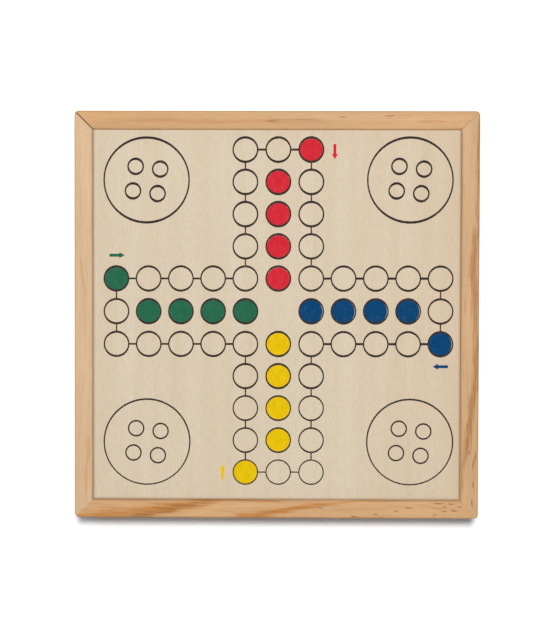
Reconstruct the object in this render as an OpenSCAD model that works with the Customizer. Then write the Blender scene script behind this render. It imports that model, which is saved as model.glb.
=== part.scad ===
// Folding ludo board box: two equal mitred pine halves, hinged along the back edge.
// Origin at the bottom centre of the shut case, +X to the right, +Y towards the hinges, +Z up.

/* [Case] */
// Outside width of the case, left to right
case_w = 290; // [278:1:330]
// Outside depth of the case, front to hinge side
case_d = 292; // [280:1:330]
// Height of each half
half_h = 22; // [21:0.5:30]
// Width of the rails, seen from above
rail_w = 13.4; // [12.6:0.2:16]
// Radius of the case's upright corners
corner_r = 3; // [1.5:0.5:5]
// Rounding along the outer edge of each half's face
edge_r = 1.2; // [0.4:0.1:1.6]
// Rounding along the inner edge of each half's face
inner_edge_r = 0.9; // [0.3:0.1:1.4]
// Rounding along the edge where the halves meet
parting_r = 0.4; // [0.2:0.1:1]
// Glue line between two mitred rails
glue_line = 0.1; // [0.05:0.05:0.2]

/* [Panels] */
// Thickness of the plywood panels
panel_t = 3.2; // [2.6:0.1:4.5]
// How deep the panel face lies below the rails
panel_recess = 1.8; // [1.4:0.1:3]
// Depth of the groove that holds the panel
groove_depth = 4; // [2.5:0.5:5]
// Room for the panel to swell, at each edge
panel_play = 0.3; // [0.1:0.1:0.8]
// Spare width of the groove over the panel
groove_play = 0.1; // [0.05:0.05:0.3]

/* [Printed board] */
// Height of the printed ink
ink_t = 0.12; // [0.08:0.02:0.3]
// Width of a printed line
line_w = 1.1; // [0.7:0.1:1.4]
// Radius of a track ring, to the middle of its line
ring_r = 8.76; // [7:0.01:9.4]
// Step from the board's middle ring place to the next one
centre_step = 23.6; // [21.5:0.1:25]
// From the frame's opening to the middle of the outermost ring
track_margin = 15.4; // [13:0.1:18]
// Radius of a home circle, to the middle of its line
home_r = 30.55; // [26:0.05:31]
// From the frame's opening to the middle of a home circle
home_inset = 37.2; // [36:0.1:38]
// Radius of a small ring in a home circle, to the middle of its line
place_r = 5.44; // [4:0.01:6.5]
// Side of the square that the four small rings lie on
place_pitch = 17.7; // [15:0.1:20]
// Turn of that square, clockwise
place_turn = 6.3; // [0:0.1:15]
// Bare rim between a printed field and its line
field_gap = 0.05; // [0.03:0.01:0.3]
// Length of a direction arrow
arrow_l = 10.9; // [7:0.1:12]
// Width of an arrow's head
arrow_head = 4; // [2.4:0.2:5]
// Width of an arrow's shaft
arrow_shaft = 2.1; // [0.8:0.1:2.4]
// From the middle of the arrow to the middle of its starting ring
arrow_offset = 16.8; // [15:0.1:20]
// Shift of the print to the right
print_shift_x = 1.2; // [-1.5:0.1:1.5]
// Shift of the print to the back
print_shift_y = 2.7; // [-3:0.1:3]
// Turn of the print, clockwise
print_turn = -0.1; // [-0.5:0.1:0.5]

/* [Hinges] */
// Length of a hinge
hinge_len = 30; // [24:1:36]
// From the case's side to the middle of a hinge
hinge_inset = 58; // [45:1:70]
// Width of a leaf, from the pin
leaf_w = 10; // [9.4:0.2:11]
// Thickness of a leaf
leaf_t = 0.8; // [0.7:0.1:1.2]
// Gap between the two leaves of a shut hinge
leaf_gap = 0.1; // [0.06:0.02:0.2]
// Outer radius of the knuckles
barrel_r = 1.1; // [1.1:0.05:2]
// Radius of the hinge pin
pin_r = 0.5; // [0.4:0.05:0.7]
// Running clearance round the hinge pin
pin_play = 0.05; // [0.02:0.01:0.1]
// Distance of the pin's centre outside the back of the case
hinge_out = 0.2; // [0.1:0.05:0.6]
// Number of knuckles on a hinge
knuckle_count = 5; // [3:2:7]
// Gap between neighbouring knuckles
knuckle_gap = 0.2; // [0.1:0.05:0.4]
// Clearance between a knuckle and what it turns past
barrel_play = 0.3; // [0.2:0.05:0.5]
// Thickness of the pin's peened head
pin_head_t = 0.4; // [0.3:0.1:0.6]

/* [Screws, brads and magnets] */
// Radius of a screw's shank
screw_r = 0.85; // [0.7:0.05:1]
// Radius of a screw's head
screw_head_r = 1.7; // [1.5:0.1:2]
// Length of a screw
screw_len = 9; // [6:0.5:11]
// Distance between the two screws of a leaf
screw_pitch = 18; // [14:1:20]
// Distance of the screws from the hinge pin
screw_from_pin = 6; // [5.4:0.1:6.4]
// Radius of a corner brad
brad_r = 0.6; // [0.4:0.05:0.8]
// Radius of a brad's head
brad_head_r = 1; // [0.9:0.1:1.3]
// Length of a brad
brad_len = 20; // [14:1:26]
// How far a brad's head is sunk
brad_sunk = 0.4; // [0.2:0.1:0.8]
// Height of the lower brad above the meeting face
brad_low = 5.5; // [4.5:0.5:7]
// Distance between the two brads of a corner
brad_pitch = 8; // [5:0.5:9]
// Clearance round screws, brads and magnets in the wood
fastener_play = 0.03; // [0.02:0.01:0.08]
// Radius of a catch magnet
magnet_r = 3; // [2:0.5:4]
// Thickness of a catch magnet
magnet_t = 3; // [2:0.5:4]
// From the case's side to the middle of a magnet
magnet_inset = 45; // [30:1:70]

/* [Finger notch] */
// Width of the notch along the front
notch_w = 40; // [32:1:60]
// Depth of the notch into the front
notch_depth = 6.5; // [5.5:0.1:7]
// Height of the notch in each half
notch_h = 6; // [5:0.5:9]

/* [Tray] */
// Thickness of the divider slats
divider_t = 3; // [2:0.5:4]
// How far the slats stay below the rim
divider_drop = 1; // [0.5:0.5:3]
// Front to back size of the cells
cell_d = 62; // [58:1:90]
// Number of cells
cell_count = 5; // [5:1:5]
// Depth of the slots that hold the slats
slot_depth = 1.2; // [0.5:0.1:1.5]
// Clearance round a slat in its slot
slot_play = 0.05; // [0.03:0.01:0.15]

/* [Pawns and die] */
// Radius of a pawn's foot
foot_r = 6.5; // [5:0.1:7]
// Height of a pawn's foot
foot_h = 1.5; // [1:0.1:3]
// Radius of a pawn's neck
neck_r = 2.4; // [1.8:0.1:3]
// Radius of a pawn's head
head_r = 4.5; // [3.6:0.1:5]
// Height of a pawn
pawn_h = 25; // [20:0.5:27]
// Side of the die
die_s = 14; // [10:0.5:15]
// Rounding of the die, as the radius of the ball that trims its corners
die_ball_r = 9.9; // [9.9:0.1:11]
// Radius of the ball that cuts a pip
pip_r = 1.2; // [0.8:0.1:1.6]
// Gap under a loose piece
rest_gap = 0.1; // [0.05:0.05:0.2]

/* [Hidden] */
$fn = 64;
COLOURS = ["red", "yellow", "green", "blue"];
PAINT = ["crimson", "gold", "seagreen", "royalblue"];
pine = [0.84, 0.68, 0.48];
birch = [0.86, 0.8, 0.69];
ink = [0.2, 0.17, 0.16];
steel = [0.72, 0.72, 0.74];
brass = [0.8, 0.63, 0.3];

// Each half is drawn from the meeting face, z = 0, out to its show face, z = half_h.
eps = 1;
inner_w = case_w - 2 * rail_w;
inner_d = case_d - 2 * rail_w;
panel_face = half_h - panel_recess;
panel_back = panel_face - panel_t;
floor_z = panel_recess + panel_t;
pin_y = case_d / 2 + hinge_out;
bore_r = pin_r + pin_play;
leaf_face = leaf_gap / 2;
leaf_back = leaf_face + leaf_t;
knuckle_l = hinge_len / knuckle_count;
tray_y = -inner_d / 2 + cell_d;
cell_w = (inner_w - (cell_count - 1) * divider_t) / cell_count;

// Places of the printed rings
arm = 4;
ring_pitch = (min(inner_w, inner_d) / 2 - track_margin - centre_step) / arm;
home_at = min(inner_w, inner_d) / 2 - home_inset;
function ring_at(k) = k == 0 ? 0 : sign(k) * (centre_step + (abs(k) - 1) * ring_pitch);

// Angle at which a lying pawn rests on its foot and its head
neck_l = pawn_h - head_r - foot_h;
tip = acos(head_r / norm([foot_r, neck_l])) - atan2(neck_l, foot_r);

module lid_half() {
    translate([0, 0, half_h]) children();
}

module base_half() {
    translate([0, 0, half_h]) mirror([0, 0, 1]) children();
}

// What is cut off a square corner at the origin to round it
module corner_cut(r) {
    difference() {
        translate([-eps, -eps]) square([r + eps, r + eps]);
        translate([r, r]) circle(r);
    }
}

module rail_profile() {
    difference() {
        square([rail_w, half_h]);
        corner_cut(parting_r);
        translate([0, half_h]) mirror([0, 1]) corner_cut(edge_r);
        translate([rail_w, half_h]) rotate(180) corner_cut(inner_edge_r);
        translate([rail_w - groove_depth, panel_back - groove_play])
            square([groove_depth + eps, panel_t + groove_play]);
    }
}

// The part of the profile that turns the case's upright corner
module corner_profile() {
    intersection() {
        translate([corner_r, 0]) mirror([1, 0]) rail_profile();
        square([corner_r, half_h]);
    }
}

// A rail of outside length l, its outer face on y = 0, mitred at both ends
module rail(l) {
    cut = glue_line / sqrt(2);
    reach = rail_w + eps;
    intersection() {
        union() {
            translate([corner_r - l / 2, 0, 0]) rotate([90, 0, 90])
                linear_extrude(l - 2 * corner_r) rail_profile();
            for (m = [0, 1]) mirror([m, 0, 0]) translate([l / 2 - corner_r, corner_r, 0])
                rotate(-90) rotate_extrude(angle = 45) corner_profile();
        }
        translate([0, 0, -eps]) linear_extrude(half_h + 2 * eps)
            polygon([[cut - l / 2 - eps, -eps], [l / 2 + eps - cut, -eps],
                     [l / 2 - reach - cut, reach], [cut + reach - l / 2, reach]]);
    }
}

// Brads run in from the left and right sides, two at each corner
module at_brads(sides) {
    for (s = sides, t = [-1, 1], z = [brad_low, brad_low + brad_pitch])
        translate([s * case_w / 2, t * (case_d - rail_w) / 2, z]) rotate([0, -90 * s, 0]) children();
}

module brad() {
    translate([0, 0, brad_sunk]) cylinder(r = brad_head_r, h = brad_r);
    translate([0, 0, brad_sunk]) cylinder(r = brad_r, h = brad_len);
}

module brad_hole() {
    translate([0, 0, -eps]) cylinder(r = brad_head_r + fastener_play, h = eps + brad_sunk + brad_r);
    cylinder(r = brad_r + fastener_play, h = brad_sunk + brad_len + fastener_play);
}

module at_magnets() {
    for (s = [-1, 1])
        translate([s * (case_w / 2 - magnet_inset), -(case_d - rail_w) / 2, 0]) children();
}

module finger_notch() {
    r = (pow(notch_w / 2, 2) + pow(notch_depth, 2)) / (2 * notch_depth);
    translate([0, notch_depth - r - case_d / 2, -eps]) cylinder(r = r, h = notch_h + eps, $fn = 128);
}

module at_hinge(s) {
    translate([s * (case_w / 2 - hinge_inset), pin_y, 0]) children();
}

module at_screws() {
    for (s = [-1, 1], t = [-1, 1])
        at_hinge(s) translate([t * screw_pitch / 2, -screw_from_pin, leaf_face]) children();
}

module screw() {
    difference() {
        union() {
            cylinder(r1 = screw_head_r, r2 = screw_r, h = leaf_t);
            cylinder(r = screw_r, h = screw_len - 2 * screw_r);
            translate([0, 0, screw_len - 2 * screw_r]) cylinder(r1 = screw_r, r2 = 0.2, h = 2 * screw_r);
        }
        for (a = [0, 90]) rotate(a)
            translate([-screw_head_r * 0.6, -screw_r * 0.2, -eps])
                cube([screw_head_r * 1.2, screw_r * 0.4, eps + leaf_t / 2]);
    }
}

// Let into the back rail: the leaf's bed, the room for the barrel and the screw holes
module hinge_cut(s) {
    room = hinge_len + 2 * (pin_head_t + barrel_play);
    at_hinge(s) {
        translate([-hinge_len / 2 - slot_play, -leaf_w - slot_play, -eps])
            cube([hinge_len + 2 * slot_play, leaf_w + slot_play, leaf_back + eps]);
        translate([-room / 2, 0, 0]) rotate([0, 90, 0]) cylinder(r = barrel_r + barrel_play, h = room);
    }
    at_screws() cylinder(r = screw_r + fastener_play, h = screw_len + fastener_play);
}

// One leaf of a hinge; its own knuckles are first, first + 2, and so on
module leaf(first) {
    reach = barrel_r + barrel_play;
    difference() {
        union() {
            translate([-hinge_len / 2, -leaf_w, leaf_face]) cube([hinge_len, leaf_w - reach, leaf_t]);
            for (k = [first:2:knuckle_count - 1]) translate([-hinge_len / 2 + k * knuckle_l, 0, 0]) {
                x0 = k == 0 ? 0 : knuckle_gap / 2;
                x1 = k == knuckle_count - 1 ? knuckle_l : knuckle_l - knuckle_gap / 2;
                translate([x0, 0, 0]) rotate([0, 90, 0]) cylinder(r = barrel_r, h = x1 - x0);
                translate([x0, -leaf_w / 2, leaf_face]) cube([x1 - x0, leaf_w / 2, leaf_t]);
            }
        }
        translate([-hinge_len / 2 - eps, 0, 0]) rotate([0, 90, 0])
            cylinder(r = bore_r, h = hinge_len + 2 * eps);
        for (t = [-1, 1]) translate([t * screw_pitch / 2, -screw_from_pin, leaf_face]) {
            cylinder(r1 = screw_head_r + fastener_play, r2 = screw_r + fastener_play, h = leaf_t);
            translate([0, 0, -eps]) cylinder(r = screw_r + fastener_play, h = leaf_t + 2 * eps);
        }
    }
}

module hinge_pin(s) {
    color(steel) translate([0, 0, half_h]) at_hinge(s) rotate([0, 90, 0]) {
        cylinder(r = pin_r, h = hinge_len + pin_play, center = true);
        for (m = [0, 1]) mirror([0, 0, m])
            translate([0, 0, hinge_len / 2 + pin_play / 2]) cylinder(r = barrel_r * 0.75, h = pin_head_t);
    }
}

module rail_front() {
    difference() {
        translate([0, -case_d / 2, 0]) rail(case_w);
        finger_notch();
        at_magnets() translate([0, 0, -eps])
            cylinder(r = magnet_r + fastener_play, h = magnet_t + leaf_face + eps);
        at_brads([-1, 1]) brad_hole();
    }
}

module rail_back() {
    difference() {
        translate([0, case_d / 2, 0]) rotate(180) rail(case_w);
        for (s = [-1, 1]) hinge_cut(s);
        at_brads([-1, 1]) brad_hole();
    }
}

module rail_side(s) {
    difference() {
        translate([s * case_w / 2, 0, 0]) rotate(90 * s) rail(case_d);
        at_brads([s]) brad_hole();
    }
}

module panel() {
    w = inner_w + 2 * (groove_depth - panel_play);
    d = inner_d + 2 * (groove_depth - panel_play);
    translate([-w / 2, -d / 2, panel_back]) cube([w, d, panel_t]);
}

module brads() {
    color(steel) at_brads([-1, 1]) brad();
}

module magnets() {
    color(steel) at_magnets() translate([0, 0, leaf_face]) cylinder(r = magnet_r, h = magnet_t);
}

module screws() {
    color(brass) at_screws() screw();
}

// Puts what is drawn flat on the board, in the print's own place and turn
module printed() {
    lid_half() translate([print_shift_x, print_shift_y, panel_face]) rotate(-print_turn)
        linear_extrude(ink_t) children();
}

module disc(k, r) {
    translate([ring_at(k[0]), ring_at(k[1])]) circle(r);
}

// One quarter of the track, from the end of an arm round the inner corner to the next arm's end
TRACK = concat([for (k = [5:-1:1]) [k, 1]], [for (k = [2:5]) [1, k]], [[0, 5]]);
LANE = [for (k = [1:4]) [0, k]];
PLACES = [for (s = [-1, 1], t = [-1, 1]) [s, t] * place_pitch / 2];

module homes(r) {
    for (a = [0:90:270]) rotate(a) translate([home_at, home_at]) circle(r);
}

module places(r) {
    for (s = [-1, 1], t = [-1, 1]) translate([s * home_at, t * home_at]) rotate(-place_turn)
        for (p = PLACES) translate(p) circle(r);
}

module links() {
    for (a = [0:90:270]) rotate(a) for (i = [0:len(TRACK) - 1]) {
        p = TRACK[i];
        q = i == len(TRACK) - 1 ? [-1, 5] : TRACK[i + 1];
        a0 = [ring_at(p[0]), ring_at(p[1])];
        a1 = [ring_at(q[0]), ring_at(q[1])];
        l = norm(a1 - a0) - 2 * ring_r;
        translate((a0 + a1) / 2) rotate(atan2(a1[1] - a0[1], a1[0] - a0[0]))
            square([l, line_w], center = true);
    }
}

module print_lines() {
    color(ink) printed() {
        difference() {
            union() {
                for (a = [0:90:270], k = TRACK) rotate(a) disc(k, ring_r + line_w / 2);
                links();
            }
            for (a = [0:90:270], k = TRACK) rotate(a) disc(k, ring_r - line_w / 2);
        }
        for (a = [0:90:270], k = LANE) rotate(a) difference() {
            disc(k, ring_r + line_w / 2);
            disc(k, ring_r - line_w / 2);
        }
        difference() {
            homes(home_r + line_w / 2);
            homes(home_r - line_w / 2);
        }
        difference() {
            places(place_r + line_w / 2);
            places(place_r - line_w / 2);
        }
    }
}

// The start field, its lane and its arrow, turned a from the back arm
module print_fields(paint, a) {
    r = ring_r - line_w / 2 - field_gap;
    color(paint) printed() rotate(a) {
        disc([1, 5], r);
        for (k = LANE) disc(k, r);
        translate([ring_at(1) + arrow_offset, ring_at(5)]) arrow();
    }
}

module arrow() {
    neck = arrow_head - arrow_l / 2;
    polygon([[-arrow_shaft / 2, arrow_l / 2], [-arrow_shaft / 2, neck], [-arrow_head / 2, neck],
             [0, -arrow_l / 2],
             [arrow_head / 2, neck], [arrow_shaft / 2, neck], [arrow_shaft / 2, arrow_l / 2]]);
}

module slat_slot(w, d) {
    translate([-w / 2 - slot_play, -d / 2 - slot_play, -eps])
        cube([w + 2 * slot_play, d + 2 * slot_play, panel_back + eps]);
}

function cell_edge(i) = -inner_w / 2 + i * (cell_w + divider_t) - divider_t / 2;

module tray_slots() {
    translate([0, tray_y + divider_t / 2, 0]) slat_slot(inner_w + 2 * slot_depth, divider_t);
    for (i = [1:cell_count - 1])
        translate([cell_edge(i), tray_y - cell_d / 2, 0]) slat_slot(divider_t, cell_d + 2 * slot_depth);
}

module tray_divider() {
    color(birch) base_half() difference() {
        translate([-inner_w / 2 - slot_depth, tray_y, divider_drop])
            cube([inner_w + 2 * slot_depth, divider_t, panel_back - divider_drop]);
        for (i = [1:cell_count - 1])
            translate([cell_edge(i), tray_y, 0]) slat_slot(divider_t, 2 * slot_depth);
    }
}

module cell_divider(i) {
    color(birch) base_half() translate([cell_edge(i) - divider_t / 2, tray_y - cell_d - slot_depth, divider_drop])
        cube([divider_t, cell_d + 2 * slot_depth, panel_back - divider_drop]);
}

module pawn() {
    rotate_extrude() difference() {
        square([foot_r, foot_h]);
        translate([foot_r, 0]) mirror([1, 0]) corner_cut(foot_h / 3);
        translate([foot_r, foot_h]) rotate(180) corner_cut(foot_h / 3);
    }
    translate([0, 0, foot_h / 2]) cylinder(r1 = foot_r - foot_h / 3, r2 = neck_r, h = pawn_h - 2 * head_r);
    translate([0, 0, pawn_h - head_r]) sphere(head_r);
}

// Heading of each pawn in its cell, as they were dropped in
HEADINGS = [[8, 172, -14, 190], [-6, 196, 10, 168], [12, 186, -4, 174], [184, -10, 176, 6]];

// Pawns lie two by two in their colour's cell; the middle cell is left for the die
module lying_pawn(c, i) {
    cell = c < 2 ? c : c + 1;
    x = -inner_w / 2 + (cell + 0.5) * cell_w + cell * divider_t;
    s = i % 2 == 0 ? 1 : -1;
    t = i < 3 ? 1 : -1;
    color(PAINT[c])
        translate([x + s * cell_w / 4, tray_y - cell_d / 2 + t * cell_d / 4, floor_z + rest_gap])
            rotate(HEADINGS[c][i - 1])
                translate([0, -pawn_h / 2, foot_r * cos(tip) + foot_h * sin(tip)])
                    rotate([-90 - tip, 0, 0]) pawn();
}

// Pip places on each face, in quarters of the side
function pips(n) = concat(n % 2 == 1 ? [[0, 0]] : [], n > 1 ? [[1, 1], [-1, -1]] : [],
                          n > 3 ? [[1, -1], [-1, 1]] : [], n == 6 ? [[1, 0], [-1, 0]] : []);

// Turn that brings each face, one to six, to the top
FACES = [[0, 0, 0], [90, 0, 0], [0, 90, 0], [0, -90, 0], [-90, 0, 0], [180, 0, 0]];

module die() {
    color("ivory") translate([-cell_w / 5, tray_y - cell_d * 0.3, floor_z + rest_gap + die_s / 2])
        rotate(24) difference() {
            intersection() {
                cube(die_s, center = true);
                sphere(die_ball_r);
            }
            for (n = [1:6]) rotate(FACES[n - 1]) for (p = pips(n))
                translate([p[0] * die_s / 4, p[1] * die_s / 4, die_s / 2 + pip_r / 2]) sphere(pip_r);
        }
}

module base_rail_front() { color(pine) base_half() difference() { rail_front(); tray_slots(); } }
module base_rail_back() { color(pine) base_half() rail_back(); }
module base_rail_left() { color(pine) base_half() difference() { rail_side(-1); tray_slots(); } }
module base_rail_right() { color(pine) base_half() difference() { rail_side(1); tray_slots(); } }
module bottom_panel() { color(birch) base_half() panel(); }
module lid_rail_front() { color(pine) lid_half() rail_front(); }
module lid_rail_back() { color(pine) lid_half() rail_back(); }
module lid_rail_left() { color(pine) lid_half() rail_side(-1); }
module lid_rail_right() { color(pine) lid_half() rail_side(1); }
module board_panel() { color(birch) lid_half() panel(); }
module base_leaf(s) { color(brass) base_half() at_hinge(s) leaf(0); }
module lid_leaf(s) { color(brass) lid_half() at_hinge(s) leaf(1); }

base_rail_front();
base_rail_back();
base_rail_left();
base_rail_right();
bottom_panel();
base_half() brads();  // base_corner_brads
base_half() magnets();  // base_magnets
tray_divider();
for (i = [1:cell_count - 1])
    cell_divider(i);
for (c = [0:3], i = [1:4])
    lying_pawn(c, i);
die();
base_leaf(-1);  // hinge_left_base_leaf
base_leaf(1);  // hinge_right_base_leaf
hinge_pin(-1);  // hinge_left_pin
hinge_pin(1);  // hinge_right_pin
base_half() screws();  // hinge_screws_base
lid_rail_front();
lid_rail_back();
lid_rail_left();
lid_rail_right();
board_panel();
print_lines();
print_fields("crimson", 0);  // print_red
print_fields("royalblue", -90);  // print_blue
print_fields("gold", 180);  // print_yellow
print_fields("seagreen", 90);  // print_green
lid_half() brads();  // lid_corner_brads
lid_half() magnets();  // lid_magnets
lid_leaf(-1);  // hinge_left_lid_leaf
lid_leaf(1);  // hinge_right_lid_leaf
lid_half() screws();  // hinge_screws_lid
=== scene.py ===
import math

import bmesh
import bpy
from mathutils import Matrix, Vector, noise


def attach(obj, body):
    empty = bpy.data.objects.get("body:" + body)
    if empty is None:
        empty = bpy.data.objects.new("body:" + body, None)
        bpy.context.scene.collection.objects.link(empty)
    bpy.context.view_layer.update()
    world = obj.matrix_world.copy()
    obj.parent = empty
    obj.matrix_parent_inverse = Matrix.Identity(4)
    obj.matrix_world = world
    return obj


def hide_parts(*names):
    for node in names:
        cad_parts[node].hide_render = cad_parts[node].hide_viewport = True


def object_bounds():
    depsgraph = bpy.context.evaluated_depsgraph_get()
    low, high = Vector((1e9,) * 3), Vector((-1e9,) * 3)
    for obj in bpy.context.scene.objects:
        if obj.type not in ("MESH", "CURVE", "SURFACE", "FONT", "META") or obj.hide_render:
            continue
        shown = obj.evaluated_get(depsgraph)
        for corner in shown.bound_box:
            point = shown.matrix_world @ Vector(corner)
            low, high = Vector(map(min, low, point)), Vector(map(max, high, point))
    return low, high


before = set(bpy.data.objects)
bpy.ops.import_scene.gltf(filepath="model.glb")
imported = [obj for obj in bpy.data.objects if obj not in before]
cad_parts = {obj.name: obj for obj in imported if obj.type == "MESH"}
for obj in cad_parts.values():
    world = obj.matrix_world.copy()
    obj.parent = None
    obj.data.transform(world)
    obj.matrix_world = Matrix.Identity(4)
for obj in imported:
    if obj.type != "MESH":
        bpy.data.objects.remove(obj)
cad_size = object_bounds()
mm = 0.001

# The studio, seen as the case was photographed: straight down on its shut lid from a metre and a
# half, with the camera a few centimetres behind and to the right of the middle.
bpy.ops.object.select_all(action="DESELECT")
bpy.ops.object.camera_add()
camera = bpy.context.object
camera.name = "camera"
eye_distance, face_height = 1.5, 43.5 * mm
camera.matrix_world = (
    Matrix.Translation((0, 0, face_height))
    @ Matrix.Rotation(math.radians(-2.1), 4, "X")
    @ Matrix.Rotation(math.radians(0.88), 4, "Y")
    @ Matrix.Rotation(math.radians(0.17), 4, "Z")
    @ Matrix.Translation((0, 0, eye_distance))
)
camera.data.lens = 119.4
camera.data.shift_x = -0.0025
camera.data.shift_y = -0.0006
bpy.context.scene.camera = camera
bpy.context.scene.view_settings.view_transform = "Standard"


lamp_distance = 4


def lamp(name, direction, width, power):
    """A round soft lamp out in that direction, facing the case."""
    place = Vector(direction).normalized() * lamp_distance
    bpy.ops.object.light_add(type="AREA", location=place)
    made = bpy.context.object
    made.name = name
    made.rotation_euler = place.to_track_quat("Z", "Y").to_euler()
    made.data.shape = "DISK"
    made.data.size = width
    made.data.energy = power


lamp("lamp_above", (0.03, 0.2, 1), 0.6, 116)
lamp("lamp_left", (-0.45, 0.45, 1), 2.0, 13)
lamp("lamp_front", (0.3, -0.9, 0.7), 2.4, 9)


def put(tree, kind, inputs=None, **settings):
    """Adds a shader node; its inputs are given by name or number, as a value or another socket."""
    made = tree.nodes.new("ShaderNode" + kind)
    for key, value in settings.items():
        setattr(made, key, value)
    for key, value in (inputs or {}).items():
        if isinstance(value, bpy.types.NodeSocket):
            tree.links.new(value, made.inputs[key])
        else:
            made.inputs[key].default_value = value
    return made


def math_of(tree, operation, *values):
    """The result of a Math node on those values or sockets."""
    return put(tree, "Math", dict(enumerate(values)), operation=operation).outputs[0]


def product(tree, *values):
    """Two or more values or sockets, multiplied."""
    made = values[0]
    for value in values[1:]:
        made = math_of(tree, "MULTIPLY", made, value)
    return made


def split(tree, vector):
    """The X, Y and Z of a vector."""
    return put(tree, "SeparateXYZ", {0: vector}).outputs


def ranged(tree, value, low, high, to_low, to_high):
    """Carries a value from one range to another, and holds it at the ends."""
    made = put(tree, "MapRange", {0: value, 1: low, 2: high, 3: to_low, 4: to_high})
    return made.outputs[0]


def blend(tree, share, first, second, way="MIX"):
    """Mixes two colours; share is how much of the second there is."""
    made = put(tree, "Mix", {0: share, 6: first, 7: second}, data_type="RGBA", blend_type=way)
    return made.outputs[2]


def seen_directly(tree):
    """One where the camera, a reflection or clear glass looks at a surface, and nought for light."""
    path = put(tree, "LightPath").outputs
    looked = math_of(tree, "MAXIMUM", path["Is Camera Ray"], path["Is Glossy Ray"])
    return math_of(tree, "MAXIMUM", looked, path["Is Transmission Ray"])


# White sweep of paper: it fills the view and keeps the soft shadow of the case. It is bright white
# where it is looked at, with a painted cool tint just in front of the case, which takes out the warm
# light that the pine throws on it there, and an ordinary white where it throws light back.
world = bpy.data.worlds.new("studio")
bpy.context.scene.world = world
world.use_nodes = True
world.node_tree.nodes.clear()
fill_light = 0.12
backdrop = math_of(world.node_tree, "MAXIMUM", seen_directly(world.node_tree), fill_light)
sky = put(world.node_tree, "Background", {"Color": (1, 1, 1, 1), "Strength": backdrop})
put(world.node_tree, "OutputWorld", {"Surface": sky.outputs[0]})

floor_size, floor_drop = 3, 0.1 * mm
bpy.ops.mesh.primitive_plane_add(size=floor_size, location=(0, 0, -floor_drop))
paper = bpy.context.object
paper.name = "paper_floor"
paper_white = bpy.data.materials.new("paper_white")
paper_white.use_nodes = True
tree = paper_white.node_tree
tree.nodes.clear()
plain = put(tree, "BsdfDiffuse", {"Color": (0.8, 0.8, 0.8, 1)})
spot = split(tree, put(tree, "TexCoord").outputs["Object"])
case_front, case_side = cad_size[0][1], cad_size[1][0]
in_front = ranged(tree, spot[1], case_front - 12 * mm, case_front - 4 * mm, 0, 1)
not_behind = ranged(tree, spot[1], case_front, case_front + 6 * mm, 1, 0)
not_beside = ranged(tree, math_of(tree, "ABSOLUTE", spot[0]), case_side - 5 * mm, case_side + 5 * mm, 1, 0)
# A painted cool tint in front of the case, against the warm light bounced off the pine.
painted_cool_tint = product(tree, in_front, not_behind, not_beside)
bright = put(tree, "BsdfDiffuse", {"Color": blend(tree, painted_cool_tint, (1.18, 1.2, 1.22, 1), (1.07, 1.18, 1.36, 1))})
either = put(tree, "MixShader", {0: seen_directly(tree), 1: plain.outputs[0], 2: bright.outputs[0]})
put(tree, "OutputMaterial", {"Surface": either.outputs[0]})
paper.data.materials.append(paper_white)


# Pine rails of the lower half: planed strips 13.4 mm wide, grooved for the bottom panel, mitred,
# glued and pinned. The front one has the finger notch, the back one the beds of the hinges.
case_w, case_d, half_h = 290 * mm, 292 * mm, 22 * mm
rail_w, corner_r, edge_r, inner_edge_r, parting_r = 13.4 * mm, 3 * mm, 1.2 * mm, 0.9 * mm, 0.4 * mm
panel_face = half_h - 1.8 * mm
panel_back = panel_face - 3.2 * mm
groove_depth, groove_play = 4 * mm, 0.1 * mm
tiny = 0.02 * mm


def colour(red, green, blue):
    """The shader's value of a colour that is given as it looks on a screen, from 0 to 255."""
    parts = [v / 255 for v in (red, green, blue)]
    return (*[v / 12.92 if v < 0.04045 else ((v + 0.055) / 1.055) ** 2.4 for v in parts], 1)


def finish(name, roughness, specular=0.3, metallic=0.0, coat=0.0):
    """A new surface finish: its material, its tree and its shader."""
    made = bpy.data.materials.new(name)
    made.use_nodes = True
    made.node_tree.nodes.clear()
    shader = put(made.node_tree, "BsdfPrincipled", {
        "Roughness": roughness, "Specular IOR Level": specular, "Metallic": metallic,
        "Coat Weight": coat, "Coat Roughness": 0.25})
    put(made.node_tree, "OutputMaterial", {"Surface": shader.outputs[0]})
    return made, made.node_tree, shader


def toned(tree, shade, tone):
    """A colour, made lighter or darker by a tone about one."""
    grey = put(tree, "CombineColor", {0: tone, 1: tone, 2: tone}).outputs[0]
    return blend(tree, 1.0, shade, grey, "MULTIPLY")


def vector_of(tree, operation, *values):
    """The outputs of a Vector Math node on those vectors."""
    return put(tree, "VectorMath", dict(enumerate(values)), operation=operation).outputs


def stretched(tree, place, scale, detail=2.0, rough=0.5):
    """Smooth random shade in grains of that many to the millimetre along X, Y and Z."""
    vector = vector_of(tree, "MULTIPLY", place, scale)[0]
    made = put(tree, "TexNoise", {"Vector": vector, "Scale": 1, "Detail": detail, "Roughness": rough})
    return made.outputs["Fac"]


def ramp(tree, value, stops):
    """A colour ramp with stops of place and colour."""
    made = put(tree, "ValToRGB", {0: value})
    marks = made.color_ramp.elements
    for i, (place, shade) in enumerate(stops):
        mark = marks[i] if i < 2 else marks.new(place)
        mark.position, mark.color = place, shade
    return made.outputs[0]


def in_millimetres(tree, turn=0.0, lean=(0.0, 0.0), shift=(0, 0, 0)):
    """Place on the piece in millimetres, turned so that X runs along the grain."""
    place = put(tree, "TexCoord").outputs["Object"]
    made = put(tree, "Mapping", {"Vector": place, "Location": shift, "Scale": (1000, 1000, 1000),
                                 "Rotation": (0, math.radians(lean[0]), math.radians(lean[1] - turn))})
    return made.outputs[0]


def bumped(tree, shader, height, strength, depth):
    """Raises the surface by a height from nought to one, depth in millimetres."""
    made = put(tree, "Bump", {"Strength": strength, "Distance": depth * mm, "Height": height})
    tree.links.new(made.outputs[0], shader.inputs["Normal"])


half_open = ((case_w / 2 - rail_w) / mm, (case_d / 2 - rail_w) / mm)


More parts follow.
